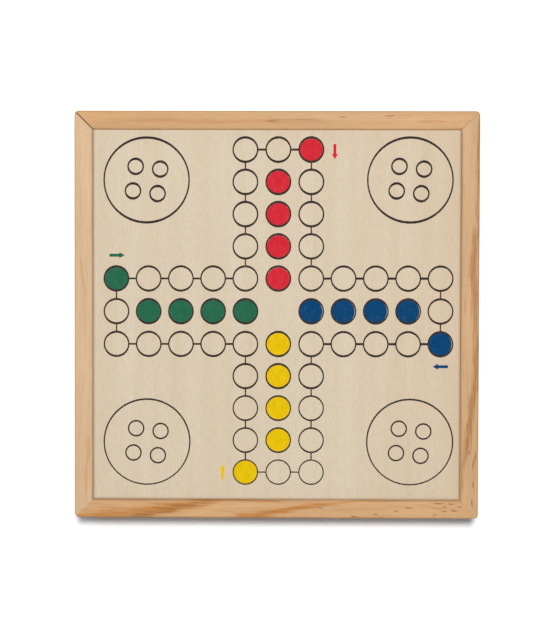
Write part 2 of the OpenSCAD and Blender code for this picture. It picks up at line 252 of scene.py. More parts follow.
def past_opening(tree, parts):
    """How far a point lies past the sides, and past the front and back, of the frame's opening."""
    return [math_of(tree, "SUBTRACT", math_of(tree, "ABSOLUTE", parts[i]), half_open[i]) for i in (0, 1)]


def edge_shade_and_mitre(tree, widths):
    """Painted shade along the round inner and outer edges of the frame's show face, and how near a
    point is to a mitre, whose joint line is dark. The widths are those of the mitres at the back
    left, back right and front."""
    parts = split(tree, in_millimetres(tree))
    past_x, past_y = past_opening(tree, parts)
    at_back = ranged(tree, parts[0], -1, 1, widths[0], widths[1])
    width = ranged(tree, parts[1], -1, 1, widths[2], at_back)
    off = math_of(tree, "ABSOLUTE", math_of(tree, "SUBTRACT", past_x, past_y))
    mitre = math_of(tree, "SUBTRACT", 1, math_of(tree, "MINIMUM", math_of(tree, "DIVIDE", off, width), 1))
    mitre = product(tree, mitre, ranged(tree, width, 0.1, 0.5, 0.15, 0.95))
    from_inner = math_of(tree, "MAXIMUM", past_x, past_y)
    up = math_of(tree, "ABSOLUTE", math_of(tree, "SUBTRACT", parts[2], half_h / mm))
    # Painted shade on the round inner edge of the show face, kept weak at the back, where the lamp's own
    # shadow falls.
    lit = ranged(tree, parts[1], 130, 132.5, 1, 0.3)
    inner = product(tree, ranged(tree, from_inner, 0.1, 1.9, 0.52, 0), lit,
                    ranged(tree, up, 19.9, 20.4, 0, 1))
    # Painted shade on the round outer edge of the show face.
    outer = product(tree, ranged(tree, from_inner, 12.2, 13.3, 0, 0.2), ranged(tree, up, 19.8, 21.2, 0, 1))
    return math_of(tree, "MAXIMUM", inner, outer), mitre


def streak(tree, shade, place, colours, start, end, widths, bow, share, core):
    """Late wood that comes to the face as a band with a dark core, from one spot of the case to
    another, in millimetres; it frays along the fibres and may bow to its left. Share and core are
    how strong the band and its core are."""
    start, end = Vector(start), Vector(end)
    along, length = (end - start).normalized(), (end - start).length
    frayed = stretched(tree, place, (0.045, 1.15, 1.15), 3, 0.7)
    from_start = vector_of(tree, "SUBTRACT", in_millimetres(tree), (*start, 0))[0]
    on = vector_of(tree, "DOT_PRODUCT", from_start, (*along, 0))["Value"]
    off = vector_of(tree, "DOT_PRODUCT", from_start, (-along.y, along.x, 0))["Value"]
    from_middle = math_of(tree, "ABSOLUTE", math_of(tree, "SUBTRACT", on, length / 2))
    bowed = math_of(tree, "POWER", ranged(tree, from_middle, 0, length / 2, 0, 1), 2)
    off = math_of(tree, "ADD", off, ranged(tree, bowed, 0, 1, -bow, 0))
    sway = ranged(tree, stretched(tree, place, (0.03, 0.03, 0.03), 1), 0.3, 0.7, -0.8, 0.8)
    off = math_of(tree, "ADD", off, sway)
    width = ranged(tree, on, 0, length, *widths)
    near = math_of(tree, "SUBTRACT", 1, math_of(tree, "DIVIDE", math_of(tree, "ABSOLUTE", off), width))
    near = math_of(tree, "ADD", near, ranged(tree, frayed, 0.3, 0.7, -0.6, 0.6))
    fibre = stretched(tree, place, (0.07, 1.7, 1.7), 4, 0.75)
    ends = product(tree, ranged(tree, on, 0, min(10, length * 0.2), 0, 1),
                   ranged(tree, on, length * 0.8, length, 1, 0))
    body = product(tree, ranged(tree, near, 0, 0.6, 0, share), ends, ranged(tree, fibre, 0.36, 0.56, 0.55, 1))
    dark = product(tree, ranged(tree, near, 0.4, 1.1, 0, core), ends, ranged(tree, fibre, 0.4, 0.6, 0.25, 1))
    shade = blend(tree, body, shade, colour(*colours[0]))
    return blend(tree, dark, shade, colour(*colours[1]))


def pine(name, turn, heart, lean=(0.3, 0.4), ring=3.2, pale=(218, 180, 138), late=(196, 140, 85),
         strength=0.35, flecks=0.2, seed=0, bands=((198, 130, 62), (142, 86, 42)), streaks=(), canals=(),
         mitres=(0.3, 0.3, 0.3)):
    """Planed and lacquered pine: yearly rings round a heart that lies outside the strip, given in
    millimetres across and up from the piece's origin, late wood, fine fibres and resin flecks. The
    bands are the colours of its streaks and their cores. Each resin canal has its place, length and
    lie, and the mitres have the widths of their joint lines."""
    made, tree, shader = finish(name, 0.5, 0.15, coat=0.03)
    place = in_millimetres(tree, turn, lean, (37 * seed, 0, 0))
    wander = stretched(tree, place, (0.006, 0.03, 0.03), 3, 0.55)
    sway = ranged(tree, wander, 0.2, 0.8, -7, 7)
    across = split(tree, place)
    from_heart = put(tree, "CombineXYZ", {
        1: math_of(tree, "ADD", math_of(tree, "SUBTRACT", across[1], heart[0]), sway),
        2: math_of(tree, "SUBTRACT", across[2], heart[1])}).outputs[0]
    year = math_of(tree, "DIVIDE", vector_of(tree, "LENGTH", from_heart)["Value"], ring)
    share = math_of(tree, "FRACT", year)
    which = put(tree, "TexWhiteNoise", {"W": math_of(tree, "FLOOR", year)}, noise_dimensions="1D")
    band = ramp(tree, share, [(0, (0, 0, 0, 1)), (0.45, (0.06, 0.06, 0.06, 1)),
                              (0.8, (0.55, 0.55, 0.55, 1)), (0.93, (1, 1, 1, 1)), (1, (0, 0, 0, 1))])
    broken = ranged(tree, stretched(tree, place, (0.02, 0.25, 0.25), 2), 0.35, 0.65, 0.45, 1)
    uneven = ranged(tree, which.outputs["Value"], 0, 1, 0.35, 1)
    amount = product(tree, band, broken, product(tree, uneven, strength))
    shade = blend(tree, amount, colour(*pale), colour(*late))
    for given in streaks:
        shade = streak(tree, shade, place, bands, *given)
    dashes = ranged(tree, stretched(tree, place, (0.045, 1.25, 1.25), 2, 0.4), 0.63, 0.72, 0, 0.4)
    shade = blend(tree, dashes, shade, colour(*late))
    cloud = ranged(tree, stretched(tree, place, (0.012, 0.1, 0.1), 2), 0.3, 0.7, 0.93, 1.05)
    fibre = ranged(tree, stretched(tree, place, (0.1, 2.4, 2.4), 4, 0.75), 0.3, 0.7, 0.9, 1.08)
    shade = toned(tree, shade, product(tree, cloud, fibre))
    resin = stretched(tree, place, (0.3, 2.6, 2.6), 1)
    patch = stretched(tree, place, (0.02, 0.09, 0.09), 1)
    fleck = product(tree, ranged(tree, resin, 0.69, 0.76, 0, 1),
                    ranged(tree, patch, 0.62 - flecks, 0.72 - flecks, 0, 0.75))
    for x, y, length, lie in canals:
        own = put(tree, "Mapping", {
            "Vector": in_millimetres(tree), "Location": (x, y, 0), "Rotation": (0, 0, math.radians(lie)),
            "Scale": (length * 0.6, 0.5, 1e6)}, vector_type="TEXTURE").outputs[0]
        out = vector_of(tree, "LENGTH", own)["Value"]
        fleck = math_of(tree, "MAXIMUM", fleck, ranged(tree, out, 0.2, 1.2, 0.85, 0))
    shade = blend(tree, fleck, shade, colour(128, 76, 36))
    # Painted shade along the frame's inner and outer edges, then the dark mitre lines.
    edge, mitre = edge_shade_and_mitre(tree, mitres)
    shade = blend(tree, edge, shade, colour(112, 78, 42))
    shade = blend(tree, mitre, shade, colour(50, 24, 8))
    tree.links.new(shade, shader.inputs["Base Color"])
    bumped(tree, shader, fibre, 0.25, 0.05)
    return made


def start(name, adder, **settings):
    """Adds a primitive with its size and place in its mesh, and opens it in edit mode."""
    bpy.ops.object.select_all(action="DESELECT")
    adder(**settings)
    made = bpy.context.object
    made.name = made.data.name = name
    bpy.ops.object.transform_apply(location=True, rotation=True, scale=True)
    bpy.ops.object.mode_set(mode="EDIT")
    return made


def done():
    bpy.ops.object.mode_set(mode="OBJECT")


def pick(kind, test):
    """In edit mode, selects the edges or faces whose middle and direction pass the test."""
    bpy.ops.mesh.select_mode(type=kind)
    bpy.ops.mesh.select_all(action="DESELECT")
    mesh = bmesh.from_edit_mesh(bpy.context.object.data)
    if kind == "EDGE":
        for edge in mesh.edges:
            a, b = edge.verts[0].co, edge.verts[1].co
            edge.select_set(test((a + b) / 2, (b - a).normalized()))
    else:
        for face in mesh.faces:
            face.select_set(test(face.calc_center_median(), face.normal))
    bmesh.update_edit_mesh(bpy.context.object.data)


def box_block(low, high):
    """A block between two corners, to cut with."""
    low, high = Vector(low), Vector(high)
    bpy.ops.mesh.primitive_cube_add(size=1, location=(low + high) / 2, scale=high - low)
    return bpy.context.object


def drill(place, radius, depth, axis, sides=32):
    """A round bar from a place along an axis, to cut with."""
    axis = Vector(axis)
    bpy.ops.mesh.primitive_cylinder_add(
        vertices=sides, radius=radius, depth=depth, location=Vector(place) + axis * depth / 2,
        rotation=axis.to_track_quat("Z", "Y").to_euler())
    return bpy.context.object


def carve(piece, tools):
    """Cuts each tool out of a piece, and clears it away."""
    for tool in tools:
        cut = piece.modifiers.new("cut", "BOOLEAN")
        cut.object, cut.operation, cut.solver = tool, "DIFFERENCE", "MANIFOLD"
        bpy.context.view_layer.objects.active = piece
        bpy.ops.object.modifier_apply(modifier="cut")
        bpy.data.objects.remove(tool)


def dress(piece, look):
    """Gives a piece its one finish."""
    piece.data.materials.clear()
    piece.data.materials.append(look)


def smooth(piece, angle=30):
    bpy.ops.object.select_all(action="DESELECT")
    piece.select_set(True)
    bpy.context.view_layer.objects.active = piece
    bpy.ops.object.shade_smooth_by_angle(angle=math.radians(angle))


merge_within = 1e-6


def mitred_rail(name, length, turn, place, flip, gaps):
    """A strip along X with its outer face at y = 0 and its meeting face at z = 0, planed round,
    grooved and mitred, then turned to its side of the case. Each gap is a mitre's width at the
    outer and at the inner corner, for the left end and the right end."""
    end = length / 2
    rail = start(name, bpy.ops.mesh.primitive_cube_add, size=1,
                 location=(0, rail_w / 2, half_h / 2), scale=(length, rail_w, half_h))
    pick("EDGE", lambda mid, way: abs(way.z) > 0.9 and mid.y < tiny)
    bpy.ops.mesh.bevel(offset=corner_r, segments=8, affect="EDGES")
    for height, radius, steps in ((half_h, edge_r, 5), (0, parting_r, 3)):
        pick("EDGE", lambda mid, way: abs(mid.z - height) < tiny and mid.y < corner_r)
        bpy.ops.mesh.bevel(offset=radius, segments=steps, affect="EDGES", clamp_overlap=False)
    for height in (panel_back - groove_play, panel_face):
        bpy.ops.mesh.select_all(action="SELECT")
        bpy.ops.mesh.bisect(plane_co=(0, 0, height), plane_no=(0, 0, 1), threshold=merge_within)
    pick("FACE", lambda mid, way: way.y > 0.9 and panel_back < mid.z < panel_face)
    bpy.ops.mesh.extrude_region_move(TRANSFORM_OT_translate={"value": (0, -groove_depth, 0)})
    for side, (outer, inner) in zip((-1, 1), gaps):
        a = Vector((side * (end - outer * math.sqrt(0.5)), 0, 0))
        b = Vector((side * (end - rail_w - inner * math.sqrt(0.5)), rail_w, 0))
        bpy.ops.mesh.select_all(action="SELECT")
        bpy.ops.mesh.bisect(plane_co=a, plane_no=(side * (b.y - a.y), abs(b.x - a.x), 0),
                            use_fill=True, clear_outer=True, threshold=merge_within)
    pick("EDGE", lambda mid, way: abs(mid.z - half_h) < tiny and abs(mid.y - rail_w) < tiny)
    bpy.ops.mesh.bevel(offset=inner_edge_r, segments=5, affect="EDGES")
    done()
    rail.rotation_euler = (0, math.pi if flip else 0, math.radians(turn))
    rail.location = (*place, half_h)
    bpy.ops.object.transform_apply(location=True, rotation=True, scale=True)
    return rail


pin_y = case_d / 2 + 0.2 * mm
hinge_x = case_w / 2 - 58 * mm
leaf_bed = 0.85 * mm
screw_places = [(s * hinge_x + t * 9 * mm, pin_y - 6 * mm) for s in (-1, 1) for t in (-1, 1)]
magnet_places = [(s * (case_w / 2 - 45 * mm), -(case_d - rail_w) / 2) for s in (-1, 1)]
brad_heights, brad_hole_r, brad_head_r = (5.5 * mm, 13.5 * mm), 0.63 * mm, 1.03 * mm
notch_half, notch_depth, notch_sides = 20 * mm, 6.5 * mm, 160
magnet_hole_r, screw_hole_r, knuckle_bed_r = 3.03 * mm, 0.88 * mm, 1.4 * mm
leaf_half, leaf_reach, barrel_bed_half = 15.05 * mm, 10.05 * mm, 15.7 * mm


def fit_rail(rail, side, way, slots):
    """Cuts what a rail is let in with; way is 1 for the lid and -1 for the base."""
    def at(x, y, z):
        return Vector((x, y, half_h + way * z))
    tools = []
    rail_ends = [(s, t) for s in (-1, 1) for t in (-1, 1)
                 if side in ("left" if s < 0 else "right", "front" if t < 0 else "back")]
    for s, t in rail_ends:
        for z in brad_heights:
            outside = at(s * case_w / 2, t * (case_d - rail_w) / 2, z) + Vector((s * mm, 0, 0))
            tools.append(drill(outside, brad_hole_r, 21.43 * mm, (-s, 0, 0), 16))
            if side in ("left", "right"):
                tools.append(drill(outside, brad_head_r, 2 * mm, (-s, 0, 0), 24))
    above = Vector((0, 0, -way * mm))
    if side == "front":
        reach = (notch_half ** 2 + notch_depth ** 2) / (2 * notch_depth)
        tools.append(drill(at(0, notch_depth - reach - case_d / 2, 0) + above, reach, 7 * mm, (0, 0, way),
                           notch_sides))
        for x, y in magnet_places:
            tools.append(drill(at(x, y, 0) + above, magnet_hole_r, 4.05 * mm, (0, 0, way), 48))
    if side == "back":
        for s in (-1, 1):
            ends = (at(s * hinge_x - leaf_half, pin_y - leaf_reach, -mm),
                    at(s * hinge_x + leaf_half, pin_y, leaf_bed))
            tools.append(box_block([min(p) for p in zip(*ends)], [max(p) for p in zip(*ends)]))
            tools.append(drill((s * hinge_x - barrel_bed_half, pin_y, half_h), knuckle_bed_r,
                               2 * barrel_bed_half, (1, 0, 0), 48))
        for x, y in screw_places:
            tools.append(drill(at(x, y, 0), screw_hole_r, 9.03 * mm, (0, 0, way), 24))
    for low, high in slots:
        tools.append(box_block(low, high))
    carve(rail, tools)
    smooth(rail)


inner_w, inner_d = case_w - 2 * rail_w, case_d - 2 * rail_w
cell_d, slat_t, slot_depth, slat_play = 62 * mm, 3 * mm, 1.2 * mm, 0.05 * mm
tray_y = -inner_d / 2 + cell_d
cell_w = (inner_w - 4 * slat_t) / 5
slat_floor = half_h - panel_back
rim = half_h + mm
divider_x = [-inner_w / 2 + i * (cell_w + slat_t) - slat_t / 2 for i in range(1, 5)]
long_slot = ((-inner_w / 2 - slot_depth - slat_play, tray_y - slat_play, slat_floor),
             (inner_w / 2 + slot_depth + slat_play, tray_y + slat_t + slat_play, rim))
short_slots = [((x - slat_t / 2 - slat_play, -inner_d / 2 - slot_depth - slat_play, slat_floor),
                (x + slat_t / 2 + slat_play, -inner_d / 2 + mm, rim)) for x in divider_x]
sides = {
    "front": (case_w, 0, (0, -case_d / 2)),
    "back": (case_w, 180, (0, case_d / 2)),
    "left": (case_d, -90, (-case_w / 2, 0)),
    "right": (case_d, 90, (case_w / 2, 0)),
}
snug = (0.04 * mm, 0.04 * mm)
base_grain = {
    "front": dict(heart=(-158, -22), seed=11, strength=0.5),
    "back": dict(heart=(120, 40), seed=12, strength=0.45),
    "left": dict(heart=(-190, 18), seed=13, strength=0.4, ring=2.6),
    "right": dict(heart=(98, -30), seed=14, strength=0.55),
}
for side, (length, turn, place) in sides.items():
    rail = mitred_rail("pine_base_" + side, length, turn, place, True, (snug, snug))
    slots = {"front": short_slots, "left": [long_slot], "right": [long_slot]}.get(side, [])
    fit_rail(rail, side, -1, slots)
    dress(rail, pine("pine_base_" + side, turn if side in ("left", "right") else 0, **base_grain[side]))
    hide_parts("base_rail_" + side)
    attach(rail, "base")


# Bottom panel of the tray: thin pale plywood, sanded and left bare, that sits in the grooves of
# the four rails. The slats that part off the cells are cut from the same sheet, face veneer out.
def plywood(name, pale, dark, seed=0, frame_shade_and_tint=0.0):
    """Pale rotary-cut veneer with its grain along Y, with painted shade by a share along the frame's
    edge, where the rails shade it, and darker and warmer towards the right."""
    made, tree, shader = finish(name, 0.55, 0.2)
    place = in_millimetres(tree, 90, (0, 0), (0, 0, 53 * seed))
    broad = ranged(tree, stretched(tree, place, (0.005, 0.09, 0.03), 4, 0.6), 0.3, 0.7, 0, 1)
    fine = stretched(tree, place, (0.16, 1.5, 1.5), 4, 0.75)
    shade = blend(tree, broad, colour(*pale), colour(*dark))
    shade = toned(tree, shade, product(tree, ranged(tree, fine, 0.3, 0.7, 0.925, 1.065), ranged(
        tree, stretched(tree, place, (0.5, 0.9, 0.9), 2, 0.6), 0.3, 0.7, 0.965, 1.03)))
    parts = split(tree, in_millimetres(tree))
    past_x, past_y = past_opening(tree, parts)
    from_frame = math_of(tree, "MAXIMUM", past_x, past_y)
    # Painted shade: a soft darkening within 15 mm of the frame.
    shade = blend(tree, ranged(tree, from_frame, -15, -1, 0, frame_shade_and_tint * 0.14), shade, colour(170, 126, 84))
    # Darker and warmer towards the right.
    shade = blend(tree, ranged(tree, parts[0], 50, 131, 0, frame_shade_and_tint * 0.33), shade, colour(204, 152, 96))
    # Painted shade: a dark line next to the rails at the sides and the front; at the back the rail's real
    # shadow stands there instead.
    past_front = math_of(tree, "SUBTRACT", product(tree, parts[1], -1), half_open[1])
    from_sides = math_of(tree, "MAXIMUM", past_x, past_front)
    shade = blend(tree, ranged(tree, from_sides, -1.6, -0.1, 0, frame_shade_and_tint), shade, colour(112, 92, 62))
    tree.links.new(shade, shader.inputs["Base Color"])
    bumped(tree, shader, fine, 0.12, 0.04)
    return made


dress(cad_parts["bottom_panel"], plywood("bottom_plywood", (222, 206, 178), (212, 192, 160), 2, 0.25))
slat_wood = plywood("slat_plywood", (220, 200, 168), (206, 182, 146), seed=4)
for name in ["tray_divider"] + [f"cell_divider_{i}" for i in range(1, 5)]:
    dress(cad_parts[name], slat_wood)


# Brads, magnets and pins of the lower half: bright steel wire nails that are driven through each
# mitre from the side, and nickel-plated disc magnets that are glued into the front rail.
def metal(name, shade, roughness, scratch, drawn):
    """Bare metal with fine marks from its making, drawn out along one way."""
    made, tree, shader = finish(name, roughness, 0.5, metallic=1.0)
    place = in_millimetres(tree)
    marks = stretched(tree, place, drawn, 3, 0.6)
    stain = stretched(tree, place, (0.5, 0.5, 0.5), 2)
    tone = product(tree, ranged(tree, marks, 0.3, 0.7, 1 - scratch, 1),
                   ranged(tree, stain, 0.3, 0.7, 0.88, 1))
    tree.links.new(toned(tree, colour(*shade), tone), shader.inputs["Base Color"])
    worn = ranged(tree, marks, 0.3, 0.7, roughness * 0.8, roughness * 1.3)
    tree.links.new(worn, shader.inputs["Roughness"])
    bumped(tree, shader, marks, 0.2, 0.02)
    return made


steel = metal("brad_steel", (190, 190, 192), 0.3, 0.15, (6, 1, 6))
nickel = metal("magnet_nickel", (168, 164, 156), 0.3, 0.12, (2, 2, 2))
for half in ("base", "lid"):
    dress(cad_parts[half + "_corner_brads"], steel)
    dress(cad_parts[half + "_magnets"], nickel)


# Sixteen pawns, four in each colour: turned beech with a disc foot, a waisted cone and a ball head,
# dipped in gloss paint. They lie two by two in the cell of their colour.
foot_r, foot_h, head_r, pawn_h = 6.5 * mm, 1.5 * mm, 4.5 * mm, 25 * mm
floor_z = 5.1 * mm
paints = {"red": (203, 38, 48), "yellow": (235, 190, 22), "green": (40, 112, 72), "blue": (22, 74, 140)}
headings = {"red": (8, 172, -14, 190), "yellow": (-6, 196, 10, 168),
            "green": (12, 186, -4, 174), "blue": (184, -10, 176, 6)}


def faces_out():
    """Turns every face of the mesh outwards, and leaves edit mode."""
    bpy.ops.mesh.select_all(action="SELECT")
    bpy.ops.mesh.normals_make_consistent(inside=False)
    done()


def turned(name, profile, sides=48):
    """A piece off the lathe: its profile runs from the foot to the top as radius and height."""
    radius, height = profile[0]
    made = start(name, bpy.ops.mesh.primitive_circle_add, vertices=sides, radius=radius,
                 fill_type="NGON", location=(0, 0, height))
    bpy.ops.mesh.select_all(action="SELECT")
    for wide, high in profile[1:]:
        bpy.ops.mesh.extrude_region_move(TRANSFORM_OT_translate={"value": (0, 0, high - height)})
        bpy.ops.transform.resize(value=(wide / radius, wide / radius, 1), center_override=(0, 0, high))
        radius, height = wide, high
    bpy.ops.mesh.merge(type="CENTER")
    faces_out()
    return made


def keep_own_place(piece):
    """Keeps where each point was while the piece stood upright, in millimetres, for its grain."""
    own = piece.data.attributes.new("own_place", "FLOAT_VECTOR", "POINT")
    for i, vertex in enumerate(piece.data.vertices):
        own.data[i].vector = vertex.co / mm


def laid(piece, name, place):
    """A copy with its own mesh, laid in its place."""
    bpy.ops.object.select_all(action="DESELECT")
    made = piece.copy()
    made.data = piece.data.copy()
    made.name = made.data.name = name
    bpy.context.collection.objects.link(made)
    made.data.transform(place)
    return made


def gloss_paint(name, shade):
    """Dipped gloss paint on turned beech: a soft orange peel, the grain telling faintly through, and
    small scuffs at the rim of the foot."""
    made, tree, shader = finish(name, 0.26, 0.5, coat=0.3)
    own = put(tree, "Attribute", attribute_name="own_place").outputs["Vector"]
    grain = stretched(tree, own, (1.8, 1.8, 0.14), 3, 0.6)
    peel = stretched(tree, own, (0.9, 0.9, 0.9), 2)
    tone = product(tree, ranged(tree, grain, 0.3, 0.7, 0.9, 1.05), ranged(tree, peel, 0.3, 0.7, 0.95, 1.03))
    painted = toned(tree, colour(*shade), tone)
    parts = split(tree, own)
    from_axis = math_of(tree, "SQRT", math_of(tree, "ADD", math_of(tree, "POWER", parts[0], 2),
                                              math_of(tree, "POWER", parts[1], 2)))
    rim = ranged(tree, from_axis, 6.3, 6.48, 0, 1)
    scuffs = ranged(tree, stretched(tree, put(tree, "TexCoord").outputs["Object"], (900, 900, 900), 3),
                    0.6, 0.68, 0, 0.8)
    worn = blend(tree, product(tree, rim, scuffs), painted, colour(206, 172, 130))
    tree.links.new(worn, shader.inputs["Base Color"])
    tree.links.new(ranged(tree, peel, 0.3, 0.7, 0.2, 0.34), shader.inputs["Roughness"])
    bumped(tree, shader, math_of(tree, "ADD", peel, product(tree, grain, 0.4)), 0.25, 0.06)
    return made


foot = [(5.6, 0), (6.1, 0.06), (6.36, 0.24), (6.48, 0.52), (6.48, 0.98), (6.36, 1.26), (6.12, 1.44),
        (5.8, 1.62)]
cone = [(6.0 - 0.225 * (z - 0.75) - 0.3 * math.sin(math.pi * (z - 1.6) / 15), z)
        for z in [1.9 + 0.9 * i for i in range(17)]]
head = [(4.49 * math.cos(math.radians(a)), 20.5 + 4.49 * math.sin(math.radians(a)))
        for a in list(range(-52, 90, 7)) + [89.5]]
pawn = turned("pawn", [(r * mm, z * mm) for r, z in foot + cone + head])
keep_own_place(pawn)
smooth(pawn, 60)
tip = math.acos(head_r / math.hypot(foot_r, pawn_h - head_r - foot_h)) - math.atan2(
    pawn_h - head_r - foot_h, foot_r)
for place, (name, shade) in enumerate(paints.items()):
    paint = gloss_paint("paint_" + name, shade)
    cell = place + place // 2
    middle = -inner_w / 2 + (cell + 0.5) * cell_w + cell * slat_t
    for i in range(1, 5):
        spot = (middle + (cell_w / 4 if i % 2 == 0 else -cell_w / 4),
                tray_y - cell_d / 2 + (cell_d / 4 if i < 3 else -cell_d / 4), floor_z)
        rest = (Matrix.Translation(spot) @ Matrix.Rotation(math.radians(headings[name][i - 1]), 4, "Z")
                @ Matrix.Translation((0, -pawn_h / 2, foot_r * math.cos(tip) + foot_h * math.sin(tip)))
                @ Matrix.Rotation(-math.pi / 2 - tip, 4, "X"))
        piece = laid(pawn, f"{name}_pawn_{i}", rest)
        dress(piece, paint)
        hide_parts(f"pawn_{name}_{i}")
        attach(piece, "base")
bpy.data.objects.remove(pawn)


# Die: a 14 mm cube of pale maple with its corners turned off round, and pips that are drilled with a
# ball cutter and filled with black paint. It lies loose in the middle cell.
die_s, die_ball_r, pip_r, pip_rise, rim_break = 14 * mm, 9.88 * mm, 1.2 * mm, 0.6 * mm, 0.16 * mm
pip_faces = [(0, 0, 0), (90, 0, 0), (0, 90, 0), (0, -90, 0), (-90, 0, 0), (180, 0, 0)]


def ball(place, radius, sides):
    """A ball, to cut with."""
    bpy.ops.mesh.primitive_uv_sphere_add(
        segments=sides, ring_count=sides // 2, radius=radius, location=place)
    return bpy.context.object


def pips(count):
    """Where the pips of a face lie, in quarters of its width from its middle."""
    places = [(0, 0)] if count % 2 else []
    if count > 1:
        places += [(1, 1), (-1, -1)]
    if count > 3:
        places += [(1, -1), (-1, 1)]
    if count == 6:
        places += [(1, 0), (-1, 0)]
    return places


die = start("maple_die", bpy.ops.mesh.primitive_cube_add, size=die_s)
done()
corners = die.modifiers.new("corners", "BOOLEAN")
rounder = ball((0, 0, 0), die_ball_r, 72)
corners.object, corners.operation, corners.solver = rounder, "INTERSECT", "MANIFOLD"
bpy.context.view_layer.objects.active = die
bpy.ops.object.modifier_apply(modifier="corners")
bpy.data.objects.remove(rounder)
balls = []
for count, turn in enumerate(pip_faces, 1):
    facing = (Matrix.Rotation(math.radians(turn[2]), 4, "Z") @ Matrix.Rotation(math.radians(turn[1]), 4, "Y")
              @ Matrix.Rotation(math.radians(turn[0]), 4, "X"))
    for x, y in pips(count):
        middle = facing @ Vector((x * die_s / 4, y * die_s / 4, die_s / 2 + pip_rise))
        balls.append(ball(middle, pip_r, 24))
carve(die, balls)
rim_edge = die.modifiers.new("rim_edge", "BEVEL")
rim_edge.width, rim_edge.segments, rim_edge.limit_method = rim_break, 2, "ANGLE"
rim_edge.angle_limit = math.radians(28)
bpy.ops.object.modifier_apply(modifier="rim_edge")
keep_own_place(die)
smooth(die, 35)


def maple(name):
    """Pale maple with fine pores, waxed; the paint lies only on the floors of the drilled pips."""
    made, tree, shader = finish(name, 0.42, 0.4, coat=0.15)
    own = put(tree, "Attribute", attribute_name="own_place").outputs["Vector"]
    grain = stretched(tree, own, (0.1, 1.4, 1.4), 4, 0.6)
    pores = ranged(tree, stretched(tree, own, (0.8, 6, 6), 2), 0.62, 0.75, 0, 0.35)
    shade = blend(tree, ranged(tree, grain, 0.3, 0.7, 0, 1), colour(232, 209, 170), colour(213, 181, 134))
    shade = blend(tree, pores, shade, colour(160, 120, 80))
    parts = split(tree, vector_of(tree, "ABSOLUTE", own)[0])
    depth = math_of(tree, "MAXIMUM", math_of(tree, "MAXIMUM", parts[0], parts[1]), parts[2])
    out = vector_of(tree, "LENGTH", own)["Value"]
    sunk = product(tree, math_of(tree, "LESS_THAN", depth, 6.9), math_of(tree, "LESS_THAN", out, 9.5))
    tree.links.new(blend(tree, sunk, shade, colour(26, 24, 24)), shader.inputs["Base Color"])
    bumped(tree, shader, grain, 0.15, 0.05)
    return made


dress(die, maple("maple"))
die.data.transform(Matrix.Translation((-cell_w / 5, tray_y - cell_d * 0.3, floor_z + die_s / 2))
                   @ Matrix.Rotation(math.radians(24), 4, "Z"))
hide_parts("die")
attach(die, "base")


# Two brass butt hinges: stamped leaves rolled into five knuckles round a steel pin, each leaf let
# into its rail and held by two countersunk brass screws.
brass = metal("hinge_brass", (214, 176, 100), 0.3, 0.14, (0.6, 5, 5))
screw_brass = metal("screw_brass", (206, 168, 94), 0.34, 0.2, (3, 3, 1))
pin_steel = metal("pin_steel", (176, 176, 178), 0.25, 0.12, (0.6, 5, 5))
for side in ("left", "right"):
    dress(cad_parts[f"hinge_{side}_base_leaf"], brass)
    dress(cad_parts[f"hinge_{side}_lid_leaf"], brass)
    dress(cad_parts[f"hinge_{side}_pin"], pin_steel)
for half in ("base", "lid"):
    dress(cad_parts["hinge_screws_" + half], screw_brass)


